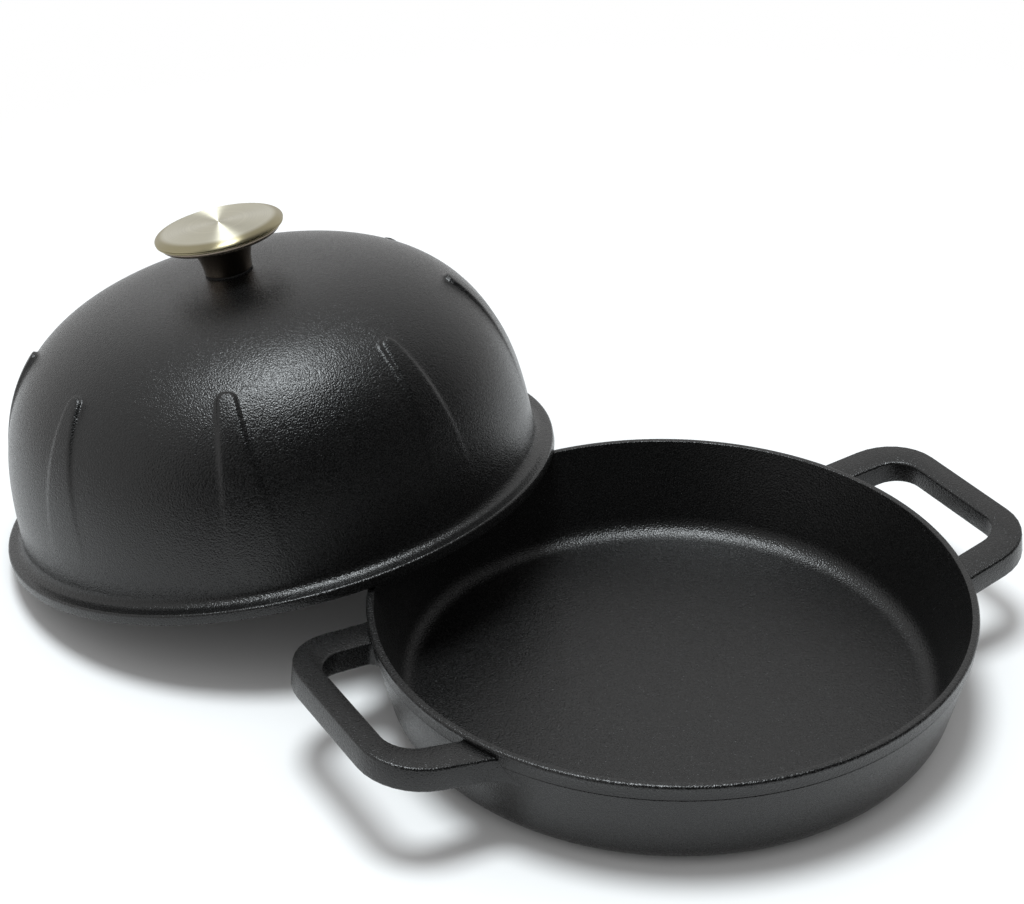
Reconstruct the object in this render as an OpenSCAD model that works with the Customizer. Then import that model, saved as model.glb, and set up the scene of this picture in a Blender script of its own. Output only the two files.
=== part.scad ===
// Bread cloche: a shallow cast iron baking pan with two loop handles, and a domed
// cast iron lid with a screwed steel knob. The lid is off and leans on the pan.
// Millimetres, +Z up. The origin is the centre of the pan's underside and the
// handles lie along X.

/* [Pan] */
// Outer diameter of the rim
rim_d = 248; // [230:1:270]
// Height of the pan from its underside to the rim
pan_h = 46; // [40:1:60]
// Width of the flat top of the rim
rim_land = 3.2; // [2.6:0.1:4]
// Height of the lip round the top of the rim
lip_h = 1.6; // [1:0.1:2.4]
// How far the lip stands out over the neck under it
lip_w = 1.4; // [0.8:0.1:1.8]
// Drop from the rim to the ledge under the neck
ledge_drop = 6.8; // [6:0.1:9]
// How far the ledge stands out from the neck
ledge_w = 0.6; // [0.3:0.1:1]
// Diameter of the flat of the underside
base_d = 206; // [190:1:216]
// Radius of the outer corner between underside and wall
base_corner = 14; // [10:0.5:18]
// Thickness of the wall and the floor
pan_wall = 4; // [3.4:0.1:4.6]

/* [Handles] */
// Length of the pan over both handles
handle_span = 312; // [296:1:330]
// Thickness of a handle
handle_t = 10.6; // [8:0.2:13]
// Width of the grip bar
bar_w = 10.8; // [9:0.1:13]
// Width over the two arms at the grip bar, if its corners were sharp
arm_span = 96; // [88:1:104]
// Width over the two arms where they leave the pan
root_span = 104; // [98:1:112]
// Width of the hand opening at the grip bar, if its corners were sharp
opening_bar = 68; // [60:1:74]
// Width of the hand opening beside the pan
opening_root = 73; // [66:1:80]
// Radius of the outer corners of a handle
handle_corner = 25; // [14:0.5:27]
// Radius of the corners of the hand opening at the grip bar
opening_corner = 12.5; // [6:0.5:14]
// Radius of the corners of the hand opening beside the pan
opening_nook = 3.5; // [2:0.5:5]
// Radius of the web where an arm runs into the pan
root_web = 3; // [2:0.5:5]
// Drop from the rim to the top of a handle at its root
handle_drop = 2; // [1.6:0.1:4]
// Upward slope of the handles
handle_rise = 8; // [0:0.5:10]

/* [Lid] */
// Outer diameter of the flange
flange_d = 251; // [236:1:272]
// Height of the flange's outer edge
flange_h = 4.7; // [3.6:0.1:6]
// Radius of the flange's upper outer edge
flange_round = 1.1; // [0.6:0.1:1.6]
// Radius of the hollow between flange and dome
flange_hollow = 4.2; // [3:0.1:4.6]
// Diameter of the dome at its foot
dome_d = 235.4; // [222:0.2:240]
// Height of the dome from the flange's underside
dome_h = 106; // [92:1:120]
// Fullness of the dome's side
side_fullness = 2.95; // [2.4:0.05:3.4]
// Fullness of the dome's crown
crown_fullness = 2.89; // [2.4:0.05:3.4]
// Thickness of the dome
lid_wall = 4; // [3.4:0.1:4.8]
// Bevel on the foot of the flange and of the knob's stem
foot_bevel = 0.4; // [0.2:0.1:0.6]

/* [Ribs] */
// Number of raised ribs round the dome
rib_n = 8; // [6:1:10]
// Turn of the first rib from the lowest point of the leaning lid
rib_turn = 38; // [0:1:59]
// Height of a rib's nose above the flange's underside
rib_top = 87; // [76:1:92]
// Width of a rib just under its nose
rib_nose_w = 7; // [5:0.5:9]
// Width of a rib where it has faded out
rib_foot_w = 22; // [16:1:28]
// Height above the flange's underside where a rib has faded out
rib_foot = 24; // [14:1:32]
// Upward slant of a rib's sides and nose
rib_slant = 38; // [10:1:50]
// How much taller the dome's curve is along the crest of a rib
rib_rise = 3.8; // [2.4:0.2:5]
// How much wider the dome's curve is along the crest of a rib
rib_proud = 0.2; // [0.1:0.1:0.4]

/* [Knob] */
// Diameter of the knob's cap
cap_d = 56.8; // [50:0.2:64]
// Radius of the rolled edge of the cap
cap_roll = 1.7; // [1.2:0.1:2.2]
// Height of the crown in the middle of the cap above its edge
cap_crown = 1.5; // [0.8:0.1:2.4]
// Diameter of the stem at its foot
stem_foot_d = 22; // [19:0.5:26]
// Diameter of the stem's waist under the cap
stem_top_d = 26; // [23:0.5:30]
// Height of the stem from its foot to the saucer under the cap
stem_h = 14; // [11:0.5:18]
// Height of the saucer under the cap
saucer_h = 3.6; // [2.6:0.2:5]
// Thickness of the saucer's edge
saucer_edge = 1.6; // [1.2:0.1:2]
// How far the cap stands out past the saucer
cap_overhang = 0.5; // [0.2:0.1:1]
// Diameter of the spigot that centres the cap
spigot_d = 12; // [9:0.5:16]
// Height of the spigot
spigot_h = 1.6; // [1.2:0.1:1.8]

/* [Fastening] */
// Thread diameter of the knob screw
screw_d = 6; // [5:0.5:8]
// Length of the screw under its head
screw_l = 18; // [16:0.5:20]
// Diameter of the screw head
head_d = 11.5; // [10:0.5:14]
// Height of the screw head
head_h = 3.6; // [3:0.1:4.5]
// Width of the slot in the screw head
slot_w = 1.6; // [1.2:0.1:2]
// Depth of the slot in the screw head
slot_deep = 1.8; // [1.2:0.1:2.2]
// Outer diameter of the threaded insert in the stem
insert_d = 10; // [9:0.5:12]
// Length of the threaded insert
insert_l = 12; // [10:0.5:13]
// Diameter of the flat washer inside the dome
washer_d = 18; // [15:0.5:24]
// Thickness of the flat washer
washer_t = 1.4; // [1:0.1:2]
// Diameter of the split spring washer
spring_d = 11; // [10:0.5:13]
// Thickness of the split spring washer
spring_t = 1.5; // [1.2:0.1:2]
// Width of the split in the spring washer
spring_gap = 1.2; // [0.8:0.1:1.6]
// Thickness of the heat gasket under the stem
gasket_t = 0.6; // [0.4:0.1:1]
// Diameter of the heat gasket
gasket_d = 21; // [18:0.5:25]

/* [Lean] */
// Direction in which the lid lies from the pan, turned from the right handle
lean_side = 114.7; // [75:0.1:120]
// Half angle between the two places where the lid rests on the rim
lean_spread = 30.3; // [24:0.1:36]
// Gap left where the lid rests
rest_gap = 0.12; // [0.1:0.01:0.3]

/* [Fit] */
// Sliver of handle left between the hand opening and the wall
wall_seam = 0.3; // [0.2:0.1:0.5]
// Play of the screw in the holes that it passes through
hole_play = 0.5; // [0.3:0.1:0.9]
// Gap round pieces that are pressed or screwed together
fit_gap = 0.05; // [0.02:0.01:0.1]
// Steps along the dome's curve
dome_steps = 26; // [16:1:40]

/* [Hidden] */
$fn = 96;

IRON = [0.16, 0.16, 0.17];
STEEL = [0.72, 0.70, 0.66];

rim_r = rim_d / 2;
neck_r = rim_r - lip_w;
function wall_at(side) = sqrt(neck_r * neck_r - side * side);
ledge_z = pan_h - ledge_drop;
ledge_r = neck_r + ledge_w;
corner_x = base_d / 2;
// the wall leaves the corner where its line to the ledge touches the corner's circle
ledge_reach = norm([ledge_r - corner_x, ledge_z - base_corner]);
wall_turn = atan2(ledge_z - base_corner, ledge_r - corner_x) - acos(base_corner / ledge_reach);

handle_x = handle_span / 2;
bar_in = handle_x - bar_w;
// where the arms and the sides of the hand opening meet the round wall
root_x = wall_at(root_span / 2);
web_x = wall_at(root_span / 2 + 2 * root_web);
nook_x = wall_at(opening_root / 2) + wall_seam;

flange_r = flange_d / 2;
dome_r = dome_d / 2;
cavity_r = dome_r - lid_wall;
cavity_h = dome_h - lid_wall;
hollow_z = flange_h + flange_hollow;
screw_hole_d = screw_d + hole_play;
seat_r = max(stem_foot_d, gasket_d) / 2 + 1;
washer_seat_r = washer_d / 2 + 1;

function dome_z(r, half, high) = high * pow(1 - pow(r / half, side_fullness), 1 / crown_fullness);
function dome_x(z, half, high) = half * pow(1 - pow(z / high, crown_fullness), 1 / side_fullness);
function slant_at(z) = z * cos(rib_slant) - dome_x(z, dome_r, dome_h) * sin(rib_slant);

// how far up the flange's underside has to tip for the lid to touch floor and rim
touch_in = cavity_r * cos(lean_spread);
touch_side = cavity_r * sin(lean_spread);
lid_tilt = asin(pan_h / (flange_r + touch_in));
lid_reach = touch_in * cos(lid_tilt) + sqrt(rim_r * rim_r - touch_side * touch_side);
lid_z = flange_r * sin(lid_tilt) + rest_gap;

seat_z = dome_z(seat_r, dome_r, dome_h);
inner_z = dome_z(washer_seat_r, cavity_r, cavity_h);
stem_z = seat_z + gasket_t;
saucer_z = stem_z + stem_h;
cap_z = saucer_z + saucer_h;
spring_z = inner_z - washer_t - spring_t;
screw_tip = spring_z + screw_l;
bore_l = max(insert_l, screw_tip - stem_z) + 1;

// Outline with its corners rounded: one radius for each point, 0 keeps the corner
function unit(v) = v / norm(v);
function corner_arc(a, p, b, r, n = 8) =
    let (u = unit(a - p), w = unit(b - p), half = acos(max(-1, min(1, u * w))) / 2)
    let (mid = p + unit(u + w) * r / sin(half), turn = cross(p - a, b - p) > 0 ? 1 : -1)
    let (from = p + u * r / tan(half) - mid, sweep = (180 - 2 * half) * turn)
    [for (i = [0:n]) let (q = sweep * i / n)
        mid + [from[0] * cos(q) - from[1] * sin(q), from[0] * sin(q) + from[1] * cos(q)]];
function rounded(pts, radii) = let (m = len(pts))
    [for (i = [0:m - 1]) each radii[i] == 0 ? [pts[i]]
        : corner_arc(pts[(i + m - 1) % m], pts[i], pts[(i + 1) % m], radii[i])];
function arc(mid, r, from, to, n) = [for (i = [0:n]) mid + r * [cos(from + (to - from) * i / n),
    sin(from + (to - from) * i / n)]];

// Half outline mirrored about the X axis
function both_sides(half) = concat(half, [for (i = [len(half) - 1:-1:0]) [half[i][0], -half[i][1]]]);
function twice(list) = concat(list, [for (i = [len(list) - 1:-1:0]) list[i]]);

module pan_outside() {
    rotate_extrude()
        polygon(concat(
            [[0, 0]],
            arc([corner_x, base_corner], base_corner, -90, wall_turn, 10),
            [[ledge_r, ledge_z], [neck_r, ledge_z + ledge_w / 2], [neck_r, pan_h - lip_h],
             [rim_r, pan_h - lip_h + lip_w / 2], [rim_r, pan_h], [0, pan_h]]));
}

module pan_inside() {
    rotate_extrude()
        polygon(concat(
            [[0, pan_wall]],
            arc([corner_x, base_corner], base_corner - pan_wall, -90, wall_turn, 10),
            [[rim_r - rim_land, pan_h], [rim_r - rim_land, pan_h + 1], [0, pan_h + 1]]));
}

module handle_outline() {
    outer = [[web_x, root_span / 2 + 2 * root_web], [root_x, root_span / 2], [handle_x, arm_span / 2]];
    inner = [[nook_x, opening_root / 2], [bar_in, opening_bar / 2]];
    difference() {
        polygon(rounded(both_sides(outer), twice([0, root_web, handle_corner])));
        polygon(rounded(both_sides(inner), twice([opening_nook, opening_corner])));
    }
}

module handle() {
    translate([neck_r, 0, pan_h - handle_drop])
        rotate([0, -handle_rise, 0])
            translate([-neck_r, 0, -handle_t])
                linear_extrude(height = handle_t)
                    handle_outline();
}

module base_pan() {
    color(IRON)
        difference() {
            union() {
                pan_outside();
                for (turn = [0, 180])
                    rotate([0, 0, turn])
                        handle();
            }
            pan_inside();
        }
}

// Everything on the lid is made round the lid's own axis, then leaned with it
module leaning() {
    rotate([0, 0, lean_side])
        translate([lid_reach, 0, lid_z])
            rotate([0, lid_tilt, 0])
                children();
}

function dome_line(half, high, low, edge) =
    let (t_low = asin(pow(low / high, crown_fullness / 2)), t_top = acos(pow(edge / half, side_fullness / 2)))
    [for (i = [0:dome_steps]) let (t = t_low + (t_top - t_low) * i / dome_steps)
        [half * pow(cos(t), 2 / side_fullness), high * pow(sin(t), 2 / crown_fullness)]];

module dome_outside() {
    foot = dome_x(hollow_z, dome_r, dome_h);
    rotate_extrude()
        polygon(concat(
            [[0, 0], [flange_r - foot_bevel, 0], [flange_r, foot_bevel]],
            arc([flange_r - flange_round, flange_h - flange_round], flange_round, 0, 90, 6),
            arc([foot + flange_hollow, hollow_z], flange_hollow, 270, 180, 8),
            dome_line(dome_r, dome_h, hollow_z + 0.5, seat_r),
            [[0, seat_z]]));
}

module dome_inside() {
    rotate_extrude()
        polygon(concat(
            [[0, -1], [cavity_r, -1]],
            dome_line(cavity_r, cavity_h, 1, washer_seat_r),
            [[0, inner_z]]));
}

// A rib is the strip of a slightly fuller dome that lies inside a widening window.
// The window slants upwards, so the rib's nose stands square to the dome.
module rib_window() {
    nose_r = rib_nose_w / 2;
    top = slant_at(rib_top);
    foot = slant_at(rib_foot);
    half = [[-top, nose_r], [-foot, rib_foot_w / 2], [-foot + rib_foot_w / 3, rib_foot_w / 8]];
    rotate([90 - rib_slant, 0, 90])
        linear_extrude(height = flange_r + dome_h)
            rotate([0, 0, -90])
                polygon(rounded(both_sides(half), twice([nose_r * 0.9, rib_foot_w / 6, rib_foot_w / 10])));
}

module fuller_dome() {
    full_r = dome_r + rib_proud;
    full_h = dome_h + rib_rise;
    foot = rib_foot / 2;
    core = cavity_r / 2;
    rotate_extrude()
        polygon(concat([[core, foot]], dome_line(full_r, full_h, foot, core)));
}

module ribs() {
    for (i = [0:rib_n - 1])
        rotate([0, 0, rib_turn + i * 360 / rib_n])
            intersection() {
                fuller_dome();
                rib_window();
            }
}

module dome_lid() {
    color(IRON)
        leaning()
            difference() {
                union() {
                    dome_outside();
                    ribs();
                }
                dome_inside();
                translate([0, 0, cavity_h / 2])
                    cylinder(d = screw_hole_d, h = dome_h);
            }
}

module knob_gasket() {
    color([0.12, 0.12, 0.12])
        leaning()
            translate([0, 0, seat_z])
                difference() {
                    cylinder(d = gasket_d, h = gasket_t);
                    translate([0, 0, -1])
                        cylinder(d = screw_hole_d, h = gasket_t + 2);
                }
}

module knob_stem() {
    foot = stem_foot_d / 2;
    top = stem_top_d / 2;
    edge = cap_d / 2 - cap_roll - cap_overhang;
    color(STEEL)
        leaning()
            translate([0, 0, stem_z])
                difference() {
                    union() {
                        rotate_extrude()
                            polygon(concat(
                                [[0, 0], [foot - foot_bevel, 0], [foot, foot_bevel]],
                                [for (i = [1:6]) [foot + (top - foot) * pow(i / 6, 2), stem_h * i / 6]],
                                [for (i = [1:6]) [top + (edge - top) * sin(15 * i),
                                    stem_h + (saucer_h - saucer_edge) * (1 - cos(15 * i))]],
                                [[edge, stem_h + saucer_h], [0, stem_h + saucer_h]]));
                        translate([0, 0, stem_h])
                            cylinder(d = spigot_d, h = saucer_h + spigot_h);
                    }
                    translate([0, 0, -1])
                        cylinder(d = insert_d + 2 * fit_gap, h = bore_l + 1);
                }
}

module threaded_insert() {
    color([0.78, 0.62, 0.34])
        leaning()
            translate([0, 0, stem_z])
                difference() {
                    cylinder(d = insert_d, h = insert_l);
                    translate([0, 0, -1])
                        cylinder(d = screw_d + 2 * fit_gap, h = insert_l + 2);
                }
}

module knob_cap() {
    edge = cap_d / 2 - cap_roll;
    color(STEEL)
        leaning()
            translate([0, 0, cap_z])
                difference() {
                    rotate_extrude()
                        polygon(concat(
                            [[0, 0]],
                            arc([edge, cap_roll], cap_roll, -90, 76, 12),
                            [for (i = [5:-1:0]) let (x = edge * i / 6)
                                [x, 2 * cap_roll + cap_crown * (1 - pow(x / edge, 2))]]));
                    translate([0, 0, -1])
                        cylinder(d = spigot_d + 2 * fit_gap, h = spigot_h + fit_gap + 1);
                }
}

module flat_washer() {
    color(STEEL)
        leaning()
            translate([0, 0, inner_z - washer_t])
                difference() {
                    cylinder(d = washer_d, h = washer_t);
                    translate([0, 0, -1])
                        cylinder(d = screw_hole_d, h = washer_t + 2);
                }
}

module spring_washer() {
    color([0.55, 0.55, 0.56])
        leaning()
            translate([0, 0, spring_z])
                difference() {
                    cylinder(d = spring_d, h = spring_t);
                    translate([0, 0, -1])
                        cylinder(d = screw_hole_d, h = spring_t + 2);
                    translate([0, -spring_gap / 2, -1])
                        cube([spring_d, spring_gap, spring_t + 2]);
                }
}

module knob_screw() {
    color(STEEL)
        leaning()
            translate([0, 0, spring_z])
                difference() {
                    union() {
                        cylinder(d = screw_d, h = screw_l);
                        translate([0, 0, -head_h])
                            cylinder(d1 = head_d * 0.82, d2 = head_d, h = head_h * 0.4);
                        translate([0, 0, -head_h * 0.6])
                            cylinder(d = head_d, h = head_h * 0.6);
                    }
                    translate([-head_d, -slot_w / 2, -head_h - 1])
                        cube([2 * head_d, slot_w, slot_deep + 1]);
                }
}

base_pan();
dome_lid();
knob_gasket();
knob_stem();
threaded_insert();
knob_cap();
flat_washer();
spring_washer();
knob_screw();
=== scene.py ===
import math

import bpy
from mathutils import Matrix, Vector


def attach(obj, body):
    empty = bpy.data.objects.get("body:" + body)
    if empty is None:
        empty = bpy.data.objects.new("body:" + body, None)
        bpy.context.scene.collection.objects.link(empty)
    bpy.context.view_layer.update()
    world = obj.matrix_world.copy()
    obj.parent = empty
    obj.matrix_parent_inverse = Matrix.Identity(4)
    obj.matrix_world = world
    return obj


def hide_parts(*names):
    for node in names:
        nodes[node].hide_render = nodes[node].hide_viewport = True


# The looks of a cast iron bread cloche: a shallow pan with two loop handles, and a domed lid
# with a spun steel knob that leans on the pan's rim. Outlines are written in millimetres.

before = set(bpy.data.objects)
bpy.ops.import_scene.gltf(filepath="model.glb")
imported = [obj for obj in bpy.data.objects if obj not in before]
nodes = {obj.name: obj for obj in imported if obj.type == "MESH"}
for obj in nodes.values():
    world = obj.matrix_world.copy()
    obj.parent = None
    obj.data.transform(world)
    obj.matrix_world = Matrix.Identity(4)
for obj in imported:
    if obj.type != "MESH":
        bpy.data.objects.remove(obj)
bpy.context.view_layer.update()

MM = 0.001
FULL_TURN = 2 * math.pi
CAST_STEPS = 256
CAP_STEPS = 192
STEM_STEPS = 128
SMOOTH_BELOW = 35

# Pan
PAN_H = 46
RIM_R = 124
RIM_LAND = 3.2
LIP_H = 1.6
LIP_W = 1.4
LIP_SHOWN = 0.5
LIP_FADE_OUT = 0.2
LIP_FADE_HIGH = 0.4
LIP_FADE_LOW = 1.0
LEDGE_DROP = 6.8
LEDGE_W = 0.6
LEDGE_STEP = 0.3
BASE_FLAT_R = 103
BASE_CORNER = 14
PAN_WALL = 4
EDGE_SOFT = 0.5
RIM_SOFT = 1.3
RIM_ARC_FROM = -15
LAND_ARC_TO = 167

# Handles
HANDLE_SPAN = 312
HANDLE_T = 10.6
BAR_W = 10.8
ARM_SPAN = 96
ROOT_SPAN = 104
OPENING_BAR = 68
OPENING_ROOT = 73
HANDLE_CORNER = 25
OPENING_CORNER = 12.5
OPENING_NOOK = 3.5
ROOT_WEB = 10
ROOT_END = 60
NOOK_END = 33
ROOT_SINK = 2.2
WALL_SEAM = 0.3
HANDLE_DROP = 2
HANDLE_RISE = math.radians(8)
HANDLE_SOFT = 1.1

# Lid
FLANGE_R = 125.45
FLANGE_H = 4.7
FLANGE_ROUND = 1.1
FLANGE_HOLLOW = 4.2
DOME_R = 117.7
DOME_H = 106
SIDE_FULLNESS = 2.95
CROWN_FULLNESS = 2.89
LID_WALL = 4
SCREW_HOLE_R = 3.25
SEAT_MARGIN = 1
CURVE_START = 1

# Ribs
RIBS = 8
RIB_TURN = math.radians(38)
RIB_TOP = 85
RIB_NOSE_W = 7
RIB_FOOT_W = 22
RIB_FOOT = 24
RIB_SLANT = math.radians(38)
RIB_RISE = 3.8
RIB_PROUD = 0.1
RIB_SINK = 2
RIB_CORE_SINK = 1.5
RIB_NOSE_ROUND = 0.95
RIB_GRAIN = 0.5
RIB_SOFT = 36
RIB_SMOOTH_BELOW = 60
RIB_SEAM = 0.03
RIB_MARGIN = 6

# Knob
CAP_R = 28.4
CAP_ROLL = 1.7
CAP_CROWN = 1.5
CAP_TRIM = 0.06
CROWN_DROP = 0.8
SHOULDER_R = 22.5
SHOULDER_LOW = 1.35
GROOVE_IN = 0.75
GROOVE_TOP = 1.2
BEAD_R = 0.55
GASKET_T = 0.6
STEM_FOOT_R = 11
STEM_FOOT_SHOWN = 10.6
STEM_BEVEL = 0.4
STEM_TOP_R = 14.6
STEM_H = 14
SAUCER_H = 3.6
SAUCER_EDGE = 1.6
CAP_OVERHANG = 0.5
WASHER_R = 9

# Leaning lid
LEAN_SIDE = math.radians(114.7)
LEAN_SPREAD = math.radians(30.3)
REST_GAP = 0.12

# Finishes
GRAIN_DEEP = 0.0002
IRON_SHEEN = 0.46
PAN_BLACK = 0.004
LID_BLACK = 0.0035
CAP_COLOR = (0.68, 0.65, 0.53)
CAP_ROUGH = 0.33
CAP_SPUN = 0.96
# From this radius out, the cap's rounded shoulder gets a painted dark olive reflection band, and these
# numbers set its fade and tint
CAP_PAINTED_REFLECTION_FROM = 0.0236
PAINTED_REFLECTION_FADE = 0.003
PAINTED_REFLECTION_TINT = (0.6, 0.56, 0.44)
STEM_COLOR = (0.24, 0.20, 0.16)
STEM_ROUGH = 0.12

# Floor and light
FLOOR_SIZE = 4
FLOOR_COLOR = 0.76
FLOOR_FADE = (0.38, 0.75)
SOFTBOX_SIZE = 0.9
SOFTBOX_AT = Vector((-0.22, 0.1, 2.4))
SOFTBOX_AIM = Vector((-0.05, 0.1, 0))
SOFTBOX_POWER = 52.0
SOFTBOX_COLOR = (0.94, 1.0, 1.03)
FILL_BACK = 0.8
FILL_FRONT = 0.5
SHINE_BACK = 0.75
SHINE_FRONT = 0.02
DARK_SIDE = Vector((0.174, -0.985, 0))
DARK_EDGE = (-0.1, 0.6)

# Camera, solved from the photograph
LENS_MM = 82.62
SENSOR_MM = 36
CAMERA_AT = Vector((-449.8, -651.6, 588.6)) * MM
CAMERA_DOWN = math.radians(31.01)
CAMERA_TURN = math.radians(-30)
CAMERA_ROLL = math.radians(-0.91)


# Outlines


def arc(mid, radius, start, end, steps):
    """Points along an arc, with its angles in degrees."""
    turns = [math.radians(start + (end - start) * i / steps) for i in range(steps + 1)]
    return [(mid[0] + radius * math.cos(t), mid[1] + radius * math.sin(t)) for t in turns]


def dome_z(r, half, high):
    return high * (1 - (r / half) ** SIDE_FULLNESS) ** (1 / CROWN_FULLNESS)


def dome_x(z, half, high):
    return half * (1 - (z / high) ** CROWN_FULLNESS) ** (1 / SIDE_FULLNESS)


def dome_line(half, high, low, edge, steps):
    """Points up the dome's curve, from height low to radius edge."""
    first = math.asin((low / high) ** (CROWN_FULLNESS / 2))
    last = math.acos((edge / half) ** (SIDE_FULLNESS / 2))
    turns = [first + (last - first) * i / steps for i in range(steps + 1)]
    return [(half * math.cos(t) ** (2 / SIDE_FULLNESS), high * math.sin(t) ** (2 / CROWN_FULLNESS))
            for t in turns]


def rounded(points, radii, steps=8):
    """A closed outline with an arc at each corner that has a radius."""
    made = []
    for i, (corner, radius) in enumerate(zip(points, radii)):
        p = Vector(corner)
        if radius == 0:
            made.append(tuple(p))
            continue
        to_last = (Vector(points[i - 1]) - p).normalized()
        to_next = (Vector(points[(i + 1) % len(points)]) - p).normalized()
        half = math.acos(max(-1, min(1, to_last.dot(to_next)))) / 2
        mid = p + (to_last + to_next).normalized() * radius / math.sin(half)
        start = p + to_last * radius / math.tan(half) - mid
        end = p + to_next * radius / math.tan(half) - mid
        sweep = math.atan2(start.x * end.y - start.y * end.x, start.dot(end))
        for k in range(steps + 1):
            t = sweep * k / steps
            turned = Matrix.Rotation(t, 2) @ start
            made.append(tuple(mid + turned))
    return made


# Modelling


def start_piece(name):
    """A new mesh that holds one vertex at the origin, left in edit mode."""
    bpy.ops.object.select_all(action="DESELECT")
    bpy.ops.mesh.primitive_plane_add(size=1, location=(0, 0, 0))
    piece = bpy.context.object
    piece.name = name
    piece.data.name = name
    bpy.ops.object.mode_set(mode="EDIT")
    bpy.ops.mesh.select_all(action="SELECT")
    bpy.ops.mesh.merge(type="CENTER")
    return piece


def draw_line(points, closed):
    """Extrudes the one vertex along the points, in metres."""
    bpy.ops.transform.translate(value=points[0])
    for here, there in zip(points, points[1:]):
        bpy.ops.mesh.extrude_region_move(TRANSFORM_OT_translate={"value": there - here})
    bpy.ops.mesh.select_all(action="SELECT")
    if closed:
        bpy.ops.mesh.edge_face_add()


def lathe(name, outline, steps, ring=False):
    """A body of revolution about Z, from (radius, height) points. A ring's outline is closed first."""
    piece = start_piece(name)
    points = [Vector((r, 0, z)) * MM for r, z in outline]
    if ring:
        points.append(points[0])
    draw_line(points, closed=False)
    bpy.ops.mesh.spin(steps=steps, angle=FULL_TURN, center=(0, 0, 0), axis=(0, 0, 1))
    bpy.ops.mesh.select_all(action="SELECT")
    bpy.ops.mesh.remove_doubles(threshold=0.01 * MM)
    bpy.ops.mesh.normals_make_consistent(inside=False)
    bpy.ops.object.mode_set(mode="OBJECT")
    return piece


def plate(name, outline, thickness):
    """A flat plate that stands on Z = 0, from the corners of its closed outline."""
    piece = start_piece(name)
    draw_line([Vector((x, y, 0)) * MM for x, y in outline], closed=True)
    bpy.ops.mesh.extrude_region_move(TRANSFORM_OT_translate={"value": (0, 0, thickness * MM)})
    bpy.ops.mesh.select_all(action="SELECT")
    bpy.ops.mesh.normals_make_consistent(inside=False)
    bpy.ops.object.mode_set(mode="OBJECT")
    return piece


def pick(piece):
    """Makes one piece the selected and active one."""
    bpy.ops.object.select_all(action="DESELECT")
    piece.select_set(True)
    bpy.context.view_layer.objects.active = piece


def modify(piece, kind, **settings):
    """Adds a modifier and applies it."""
    pick(piece)
    modifier = piece.modifiers.new(kind.title(), kind)
    for key, value in settings.items():
        setattr(modifier, key, value)
    bpy.ops.object.modifier_apply(modifier=modifier.name)


def place(piece, matrix):
    """Puts a piece in its place, with the place in its mesh."""
    pick(piece)
    piece.matrix_world = matrix
    bpy.ops.object.transform_apply(location=True, rotation=True, scale=True)


def smooth(piece, degrees=SMOOTH_BELOW):
    """Shades a piece smooth, except over edges that turn by more than these degrees."""
    pick(piece)
    bpy.ops.object.shade_smooth_by_angle(angle=math.radians(degrees))


def copy_of(piece, name):
    twin = piece.copy()
    twin.data = piece.data.copy()
    twin.name = name
    twin.data.name = name
    bpy.context.scene.collection.objects.link(twin)
    return twin


# Finishes


class Wire:
    """An output socket that can be written in sums."""

    def __init__(self, finish, socket):
        self.finish = finish
        self.socket = socket

    def __add__(self, other):
        return self.finish.sum("ADD", self, other)

    def __sub__(self, other):
        return self.finish.sum("SUBTRACT", self, other)

    def __rsub__(self, other):
        return self.finish.sum("SUBTRACT", other, self)

    def __mul__(self, other):
        return self.finish.sum("MULTIPLY", self, other)

    __radd__ = __add__
    __rmul__ = __mul__


class Finish:
    """A node material. node() adds any node, and sums of wires add their Math nodes."""

    def __init__(self, name):
        self.material = bpy.data.materials.new(name)
        self.material.use_nodes = True
        self.tree = self.material.node_tree
        self.shader = self.tree.nodes["Principled BSDF"]

    def node(self, kind, settings=None, inputs=None, output=0):
        made = self.tree.nodes.new(kind)
        for key, value in (settings or {}).items():
            setattr(made, key, value)
        for key, value in (inputs or {}).items():
            self.feed(made.inputs[key], value)
        return Wire(self, made.outputs[output])

    def feed(self, socket, value):
        if isinstance(value, Wire):
            self.tree.links.new(value.socket, socket)
        else:
            socket.default_value = value

    def sum(self, operation, first, second):
        return self.node("ShaderNodeMath", {"operation": operation}, {0: first, 1: second})

    def blend(self, share, first, second):
        """Colour first at share 0 and second at share 1."""
        return self.node("ShaderNodeMix", {"data_type": "RGBA"}, {0: share, 6: first, 7: second},
                         output=2)

    def ramp(self, value, low, high):
        """0 below low, 1 above high, and a smooth step between."""
        return self.node("ShaderNodeMapRange", {"interpolation_type": "SMOOTHSTEP"},
                         {"Value": value, "From Min": low, "From Max": high})

    def set(self, **sockets):
        for key, value in sockets.items():
            self.feed(self.shader.inputs[key.replace("_", " ").title().replace("Ior", "IOR")], value)


def grey(level, warm=0.0):
    return (level * (1 + warm), level, level * (1 - warm), 1)


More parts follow.
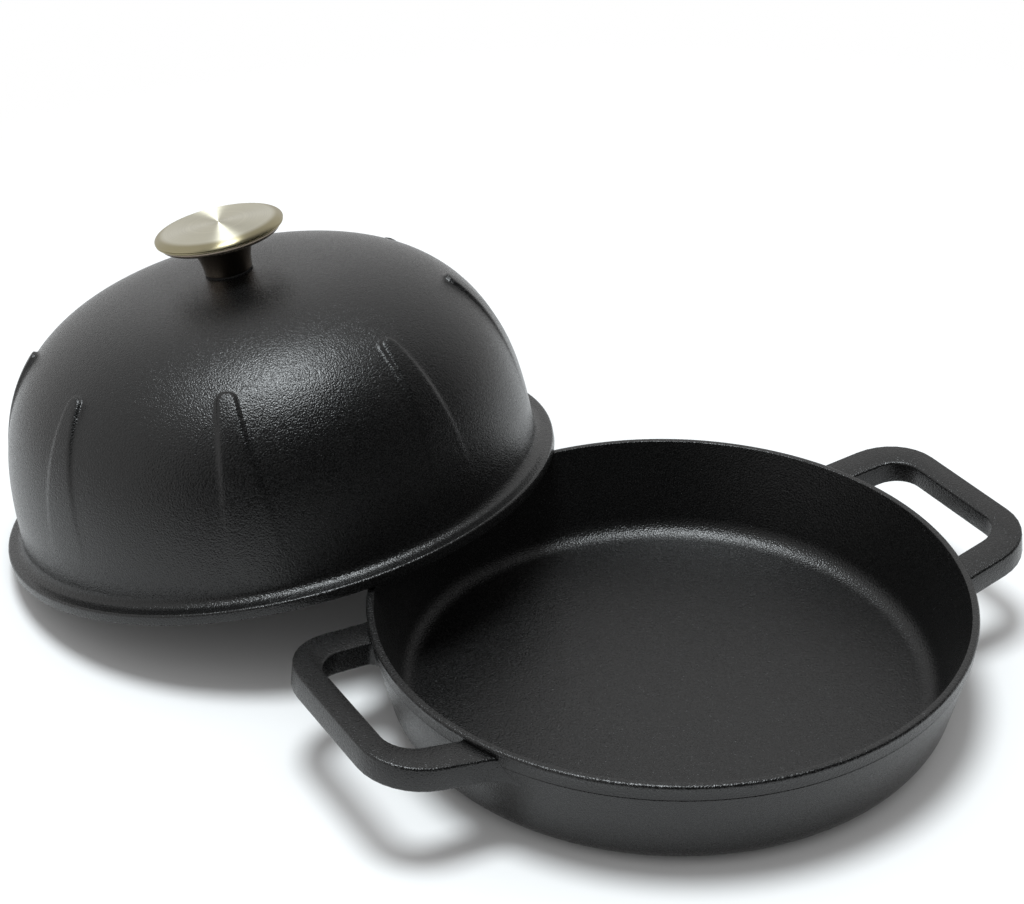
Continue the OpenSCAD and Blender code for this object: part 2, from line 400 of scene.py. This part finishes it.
def cast_iron(name, base):
    """Matt black enamel over sand cast iron, with a fine pebbled grain."""
    finish = Finish(name)
    where = finish.node("ShaderNodeTexCoord", output=3)
    bent = finish.node("ShaderNodeTexNoise", None,
                       {"Vector": where, "Scale": 1600.0, "Detail": 2.0, "Roughness": 0.5,
                        "Distortion": 0.3})
    pebbles = finish.node("ShaderNodeTexVoronoi", {"feature": "SMOOTH_F1"},
                          {"Vector": where, "Scale": 1300.0, "Smoothness": 0.5})
    swell = finish.node("ShaderNodeTexNoise", None,
                        {"Vector": where, "Scale": 110.0, "Detail": 3.0, "Roughness": 0.5})
    cloud = finish.node("ShaderNodeTexNoise", None,
                        {"Vector": where, "Scale": 14.0, "Detail": 3.0, "Roughness": 0.6})
    specks = finish.ramp(bent, 0.35, 0.68)
    tone = finish.blend(specks, grey(base * 0.4), grey(base * 2.2))
    tone = finish.blend(finish.ramp(cloud, 0.3, 0.75) * 0.35, tone, grey(base * 1.6, 0.03))
    rough = 0.22 + 0.06 * specks + 0.04 * cloud
    height = 0.9 * bent - 0.6 * pebbles + 0.2 * swell
    bump = finish.node("ShaderNodeBump", None,
                       {"Strength": 1.0, "Distance": GRAIN_DEEP, "Height": height})
    finish.set(base_color=tone, roughness=rough, normal=bump, specular_ior_level=IRON_SHEEN)
    return finish.material


def turned_steel(name, color, rough, rings, depth, lean, anisotropic=0.0, painted_reflection_from=1.0):
    """Steel with the fine rings of the lathe round the lid's axis, painted darker past a radius in
    metres as a painted dark reflection band.
    """
    finish = Finish(name)
    where = finish.node("ShaderNodeTexCoord", output=3)
    turned = finish.node("ShaderNodeMapping", {"vector_type": "TEXTURE"},
                         {"Vector": where, "Location": lean.to_translation(),
                          "Rotation": lean.to_euler()})
    x, y, z = (finish.node("ShaderNodeSeparateXYZ", None, {0: turned}, output=i) for i in range(3))
    radius = finish.sum("SQRT", x * x + y * y, 0.0)
    along = finish.node("ShaderNodeCombineXYZ", None, {0: radius, 1: z, 2: 0.0})
    lines = finish.node("ShaderNodeTexNoise", None,
                        {"Vector": along, "Scale": rings, "Detail": 3.0, "Roughness": 0.7})
    wear = finish.node("ShaderNodeTexNoise", None,
                       {"Vector": turned, "Scale": 60.0, "Detail": 3.0, "Roughness": 0.6})
    tone = finish.blend(finish.ramp(lines, 0.3, 0.7), [c * 0.90 for c in color] + [1],
                        [min(1, c * 1.06) for c in color] + [1])
    # Painted reflection: past the radius the colour turns dark olive, a dark band painted on the cap's
    # shoulder
    tone = finish.blend(finish.ramp(radius, painted_reflection_from, painted_reflection_from + PAINTED_REFLECTION_FADE), tone,
                        [c * dark for c, dark in zip(color, PAINTED_REFLECTION_TINT)] + [1])
    bump = finish.node("ShaderNodeBump", None,
                       {"Strength": 1.0, "Distance": depth, "Height": lines})
    finish.set(base_color=tone, metallic=1.0, roughness=rough + 0.08 * wear, normal=bump,
               anisotropic=anisotropic, anisotropic_rotation=0.25)
    return finish.material


def plain_metal(name, color, rough):
    """Small hardware inside the dome: a dull metal with a fine scratch."""
    finish = Finish(name)
    where = finish.node("ShaderNodeTexCoord", output=3)
    scratch = finish.node("ShaderNodeTexNoise", None,
                          {"Vector": where, "Scale": 1500.0, "Detail": 2.0, "Roughness": 0.6})
    tone = finish.blend(finish.ramp(scratch, 0.3, 0.7), [c * 0.8 for c in color] + [1],
                        list(color) + [1])
    bump = finish.node("ShaderNodeBump", None,
                       {"Strength": 0.4, "Distance": 0.00005, "Height": scratch})
    finish.set(base_color=tone, metallic=1.0, roughness=rough + 0.1 * scratch, normal=bump)
    return finish.material


def rubber(name):
    """Matt black silicone."""
    finish = Finish(name)
    where = finish.node("ShaderNodeTexCoord", output=3)
    dust = finish.node("ShaderNodeTexNoise", None,
                       {"Vector": where, "Scale": 900.0, "Detail": 2.0, "Roughness": 0.5})
    tone = finish.blend(dust, grey(0.012), grey(0.03))
    bump = finish.node("ShaderNodeBump", None,
                       {"Strength": 0.3, "Distance": 0.00005, "Height": dust})
    finish.set(base_color=tone, roughness=0.7 + 0.1 * dust, normal=bump)
    return finish.material


# Where the lid leans

cavity_r = DOME_R - LID_WALL
cavity_h = DOME_H - LID_WALL
touch_in = cavity_r * math.cos(LEAN_SPREAD)
touch_side = cavity_r * math.sin(LEAN_SPREAD)
lid_tilt = math.asin(PAN_H / (FLANGE_R + touch_in))
lid_reach = touch_in * math.cos(lid_tilt) + math.sqrt(RIM_R ** 2 - touch_side ** 2)
lid_z = FLANGE_R * math.sin(lid_tilt) + REST_GAP
LEAN = (Matrix.Rotation(LEAN_SIDE, 4, "Z") @ Matrix.Translation(Vector((lid_reach, 0, lid_z)) * MM)
        @ Matrix.Rotation(lid_tilt, 4, "Y"))

pan_iron = cast_iron("pan_iron", PAN_BLACK)
lid_iron = cast_iron("lid_iron", LID_BLACK)
cap_steel = turned_steel("cap_steel", CAP_COLOR, CAP_ROUGH, 2600.0, 0.00001, LEAN, CAP_SPUN,
                         painted_reflection_from=CAP_PAINTED_REFLECTION_FROM)
stem_steel = turned_steel("stem_steel", STEM_COLOR, STEM_ROUGH, 1800.0, 0.000002, LEAN)


# Pan

neck_r = RIM_R - LIP_W
shown_r = RIM_R - LIP_SHOWN
ledge_z = PAN_H - LEDGE_DROP
ledge_r = neck_r + LEDGE_W
corner_mid = (BASE_FLAT_R, BASE_CORNER)
ledge_reach = math.hypot(ledge_r - BASE_FLAT_R, ledge_z - BASE_CORNER)
wall_turn = math.degrees(math.atan2(ledge_z - BASE_CORNER, ledge_r - BASE_FLAT_R)
                         - math.acos(BASE_CORNER / ledge_reach))
land_in = RIM_R - RIM_LAND
lip_low = PAN_H - LIP_H

pan_outline = (
    [(0, 0)]
    + arc(corner_mid, BASE_CORNER, -90, wall_turn, 16)
    + arc((ledge_r - EDGE_SOFT, ledge_z - EDGE_SOFT), EDGE_SOFT, wall_turn, 90, 5)
    + [(shown_r, ledge_z + LEDGE_STEP), (shown_r, lip_low - LIP_FADE_LOW)]
    + [(shown_r + LIP_FADE_OUT, lip_low - LIP_FADE_HIGH)]
    + arc((RIM_R - RIM_SOFT, PAN_H - RIM_SOFT), RIM_SOFT, RIM_ARC_FROM, 90, 8)
    + arc((land_in + EDGE_SOFT, PAN_H - EDGE_SOFT), EDGE_SOFT, 90, LAND_ARC_TO, 5)
    + arc(corner_mid, BASE_CORNER - PAN_WALL, wall_turn, -90, 12)
    + [(0, PAN_WALL)])
pan = lathe("pan", pan_outline, CAST_STEPS)
smooth(pan)
pan.data.materials.append(pan_iron)


# Handles


def wall_at(side):
    return math.sqrt(neck_r ** 2 - side ** 2)


handle_x = HANDLE_SPAN / 2
bar_in = handle_x - BAR_W
# the arms end inside the wall
mid_wall_r = neck_r - ROOT_SINK
root_end = (math.sqrt(mid_wall_r ** 2 - ROOT_END ** 2), ROOT_END)
nook_end = (math.sqrt(mid_wall_r ** 2 - NOOK_END ** 2), NOOK_END)
arm_half = [root_end, (wall_at(ROOT_SPAN / 2), ROOT_SPAN / 2), (handle_x, ARM_SPAN / 2)]
arm_radii = [0, ROOT_WEB, HANDLE_CORNER]
nook_x = wall_at(OPENING_ROOT / 2) + WALL_SEAM
loop_half = [(bar_in, OPENING_BAR / 2), (nook_x, OPENING_ROOT / 2), nook_end]
loop_radii = [OPENING_CORNER, OPENING_NOOK, 0]
outer = arm_half + [(x, -y) for x, y in reversed(arm_half)]
inner = [(x, -y) for x, y in reversed(loop_half)] + loop_half
# the outline runs round the outside of the loop and comes back round the hand opening
handle_outline = rounded(outer + inner, arm_radii + arm_radii[::-1] + loop_radii[::-1] + loop_radii)
handle = plate("left_handle", handle_outline, HANDLE_T)
modify(handle, "BEVEL", width=HANDLE_SOFT * MM, segments=3, limit_method="ANGLE",
       angle_limit=math.radians(40), use_clamp_overlap=False)
rise = (Matrix.Translation(Vector((neck_r, 0, PAN_H - HANDLE_DROP)) * MM)
        @ Matrix.Rotation(-HANDLE_RISE, 4, "Y")
        @ Matrix.Translation(Vector((-neck_r, 0, -HANDLE_T)) * MM))
place(handle, Matrix.Rotation(math.pi, 4, "Z") @ rise)
smooth(handle)
handle.data.materials.append(pan_iron)
right_handle = copy_of(handle, "right_handle")
place(right_handle, Matrix.Rotation(math.pi, 4, "Z"))


# Dome

seat_r = STEM_FOOT_R + SEAT_MARGIN
seat_z = dome_z(seat_r, DOME_R, DOME_H)
washer_seat_r = WASHER_R + SEAT_MARGIN
inner_z = dome_z(washer_seat_r, cavity_r, cavity_h)
hollow_z = FLANGE_H + FLANGE_HOLLOW
foot_r = dome_x(hollow_z, DOME_R, DOME_H)
dome_outline = (
    [(cavity_r + EDGE_SOFT, 0), (FLANGE_R - EDGE_SOFT, 0)]
    + arc((FLANGE_R - EDGE_SOFT, EDGE_SOFT), EDGE_SOFT, -90, 0, 4)
    + arc((FLANGE_R - FLANGE_ROUND, FLANGE_H - FLANGE_ROUND), FLANGE_ROUND, 0, 90, 6)
    + arc((foot_r + FLANGE_HOLLOW, hollow_z), FLANGE_HOLLOW, 270, 180, 10)
    + dome_line(DOME_R, DOME_H, hollow_z + CURVE_START, seat_r, 90)
    + [(SCREW_HOLE_R, seat_z), (SCREW_HOLE_R, inner_z)]
    + dome_line(cavity_r, cavity_h, CURVE_START, washer_seat_r, 60)[::-1]
    + [(cavity_r, EDGE_SOFT)])
dome = lathe("dome", dome_outline, CAST_STEPS, ring=True)
place(dome, LEAN)
smooth(dome)
dome.data.materials.append(lid_iron)


# Ribs


def slant_at(z):
    return z * math.cos(RIB_SLANT) - dome_x(z, DOME_R, DOME_H) * math.sin(RIB_SLANT)


def rib_window(name, grow):
    """The prism that holds one rib, wider than the rib's outline by grow."""
    nose = RIB_NOSE_W / 2 + grow
    foot = RIB_FOOT_W / 2 + grow
    half = [(nose, slant_at(RIB_TOP) + grow), (foot, slant_at(RIB_FOOT)),
            (foot / 4, slant_at(RIB_FOOT) - foot)]
    radii = [nose * RIB_NOSE_ROUND, foot / 3, foot / 5]
    outline = rounded(half + [(-x, y) for x, y in reversed(half)], radii + radii[::-1])
    prism = plate(name, outline, FLANGE_R + DOME_H)
    slanted = Matrix(((0, -math.sin(RIB_SLANT), math.cos(RIB_SLANT), 0),
                      (1, 0, 0, 0),
                      (0, math.cos(RIB_SLANT), math.sin(RIB_SLANT), 0),
                      (0, 0, 0, 1)))
    place(prism, slanted)
    return prism


def skin_piece(name, half, high, window, sink):
    """The part of a dome's skin that lies in a window."""
    low = RIB_FOOT / 3
    core = cavity_r / 2
    outline = (dome_line(half, high, low, core, 80)
               + dome_line(DOME_R - sink, DOME_H - sink, low, core, 40)[::-1])
    piece = lathe(name, outline, CAST_STEPS, ring=True)
    modify(piece, "BOOLEAN", operation="INTERSECT", object=window, solver="EXACT")
    bpy.data.objects.remove(window)
    return piece


patch = skin_piece("rib_patch", DOME_R + RIB_SEAM, DOME_H + RIB_SEAM, rib_window("wide", RIB_MARGIN),
                   RIB_SINK)
rib = skin_piece("rib_1", DOME_R + RIB_PROUD, DOME_H + RIB_RISE, rib_window("narrow", 0),
                 RIB_CORE_SINK)
modify(rib, "BOOLEAN", operation="UNION", object=patch, solver="EXACT")
bpy.data.objects.remove(patch)
modify(rib, "REMESH", mode="VOXEL", voxel_size=RIB_GRAIN * MM, use_smooth_shade=True)
modify(rib, "SMOOTH", factor=0.5, iterations=RIB_SOFT)
ribs = [rib] + [copy_of(rib, "rib_%d" % (i + 2)) for i in range(RIBS - 1)]
for i, piece in enumerate(ribs):
    place(piece, LEAN @ Matrix.Rotation(RIB_TURN + i * FULL_TURN / RIBS, 4, "Z"))
    smooth(piece, RIB_SMOOTH_BELOW)
    piece.data.materials.append(lid_iron)


# Knob

stem_z = seat_z + GASKET_T
saucer_r = CAP_R - CAP_ROLL - CAP_OVERHANG
cap_z = stem_z + STEM_H + SAUCER_H
waist = [(STEM_FOOT_SHOWN + (STEM_TOP_R - STEM_FOOT_SHOWN) * (i / 12) ** 2, STEM_H * i / 12)
         for i in range(1, 13)]
flare = [(STEM_TOP_R + (saucer_r - STEM_TOP_R) * math.sin(math.radians(7.5 * i)),
          STEM_H + (SAUCER_H - SAUCER_EDGE) * (1 - math.cos(math.radians(7.5 * i))))
         for i in range(1, 13)]
stem_outline = (
    [(0, 0), (STEM_FOOT_SHOWN - STEM_BEVEL, 0)]
    + arc((STEM_FOOT_SHOWN - STEM_BEVEL, STEM_BEVEL), STEM_BEVEL, -90, 0, 4)
    + waist + flare
    + [(saucer_r, STEM_H + SAUCER_H), (0, STEM_H + SAUCER_H)])
stem = lathe("stem", stem_outline, STEM_STEPS)
place(stem, LEAN @ Matrix.Translation((0, 0, stem_z * MM)))
smooth(stem)
stem.data.materials.append(stem_steel)

cap_top = 2 * CAP_ROLL + CAP_CROWN - CAP_TRIM
cap_crown = [(SHOULDER_R * i / 24, cap_top - CROWN_DROP * (i / 24) ** 2) for i in range(23, -1, -1)]
shoulder_high = cap_top - CROWN_DROP - SHOULDER_LOW
shoulder = [(SHOULDER_R + (CAP_R - SHOULDER_R) * math.cos(math.radians(5 * i)),
             SHOULDER_LOW + shoulder_high * math.sin(math.radians(5 * i)))
            for i in range(19)]
cap_outline = (
    [(0, 0)]
    + arc((CAP_R - GROOVE_IN, BEAD_R), BEAD_R, -90, 70, 8)
    + [(CAP_R - GROOVE_IN, GROOVE_TOP)]
    + shoulder + cap_crown)
cap = lathe("cap", cap_outline, CAP_STEPS)
place(cap, LEAN @ Matrix.Translation((0, 0, cap_z * MM)))
smooth(cap)
cap.data.materials.append(cap_steel)


# What each piece rides on, and which solids it stands for

for piece in (pan, handle, right_handle):
    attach(piece, "pan")
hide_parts("base_pan")
for piece in [dome] + ribs:
    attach(piece, "lid")
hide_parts("dome_lid")
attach(stem, "lid")
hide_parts("knob_stem")
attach(cap, "lid")
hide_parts("knob_cap")


def finish_node(name, material):
    """Gives a carried over solid its material."""
    nodes[name].data.materials.clear()
    nodes[name].data.materials.append(material)


finish_node("knob_gasket", rubber("gasket_rubber"))
finish_node("threaded_insert", plain_metal("insert_brass", (0.72, 0.52, 0.22), 0.25))
finish_node("flat_washer", plain_metal("washer_steel", (0.60, 0.60, 0.58), 0.25))
finish_node("spring_washer", plain_metal("spring_steel", (0.35, 0.35, 0.36), 0.35))
finish_node("knob_screw", plain_metal("screw_steel", (0.62, 0.61, 0.58), 0.2))


# Floor, light and camera

bpy.ops.object.select_all(action="DESELECT")
bpy.ops.mesh.primitive_plane_add(size=FLOOR_SIZE, location=(0, 0, 0))
floor = bpy.context.object
floor.name = "floor"
paper = Finish("floor_paper")
spot = paper.node("ShaderNodeTexCoord", output=3)
away = paper.node("ShaderNodeVectorMath", {"operation": "LENGTH"}, {0: spot}, output=1)
paper.set(base_color=grey(FLOOR_COLOR), roughness=0.9, specular_ior_level=0.0,
          alpha=1 - paper.ramp(away, *FLOOR_FADE))
floor.data.materials.append(paper.material)

softbox_data = bpy.data.lights.new("softbox", "AREA")
softbox_data.shape = "DISK"
softbox_data.size = SOFTBOX_SIZE
softbox_data.energy = SOFTBOX_POWER
softbox_data.color = SOFTBOX_COLOR
softbox = bpy.data.objects.new("softbox", softbox_data)
softbox.location = SOFTBOX_AT
downward = SOFTBOX_AIM - SOFTBOX_AT
softbox.rotation_euler = downward.to_track_quat("-Z", "Y").to_euler()
softbox.visible_camera = False
bpy.context.scene.collection.objects.link(softbox)


class Sky(Finish):
    """The studio round the part: white to the camera, with one dark side."""

    def __init__(self, name):
        self.world = bpy.data.worlds.new(name)
        self.world.use_nodes = True
        self.tree = self.world.node_tree
        self.shader = self.tree.nodes["Background"]


sky = Sky("studio")
bpy.context.scene.world = sky.world
is_camera, is_glossy, is_through = (
    sky.node("ShaderNodeLightPath", output=rays)
    for rays in ("Is Camera Ray", "Is Glossy Ray", "Is Transmission Ray"))
heading = sky.node("ShaderNodeTexCoord")
facing = sky.node("ShaderNodeVectorMath", {"operation": "DOT_PRODUCT"},
                  {0: heading, 1: DARK_SIDE}, output=1)
front = sky.ramp(facing, *DARK_EDGE)
shine = SHINE_BACK - (SHINE_BACK - SHINE_FRONT) * front
fill = FILL_BACK - (FILL_BACK - FILL_FRONT) * front
shown = sky.sum("MAXIMUM", is_camera, is_through)
strength = shown + (1 - shown) * (is_glossy * shine + (1 - is_glossy) * fill)
sky.set(strength=strength, color=grey(1))

camera_data = bpy.data.cameras.new("camera")
camera_data.lens = LENS_MM
camera_data.sensor_fit = "HORIZONTAL"
camera_data.sensor_width = SENSOR_MM
camera_data.clip_start = 0.05
camera_data.clip_end = 50
camera = bpy.data.objects.new("camera", camera_data)
bpy.context.scene.collection.objects.link(camera)
ahead = Vector((0, math.cos(CAMERA_DOWN), -math.sin(CAMERA_DOWN)))
level_right = Vector((1, 0, 0))
level_up = Vector((0, math.sin(CAMERA_DOWN), math.cos(CAMERA_DOWN)))
right = math.cos(CAMERA_ROLL) * level_right + math.sin(CAMERA_ROLL) * level_up
up = -math.sin(CAMERA_ROLL) * level_right + math.cos(CAMERA_ROLL) * level_up
axes = Matrix((right, up, -ahead)).transposed().to_4x4()
camera.matrix_world = (Matrix.Translation(CAMERA_AT) @ Matrix.Rotation(CAMERA_TURN, 4, "Z") @ axes)
bpy.context.scene.camera = camera

bpy.context.scene.view_settings.view_transform = "Standard"
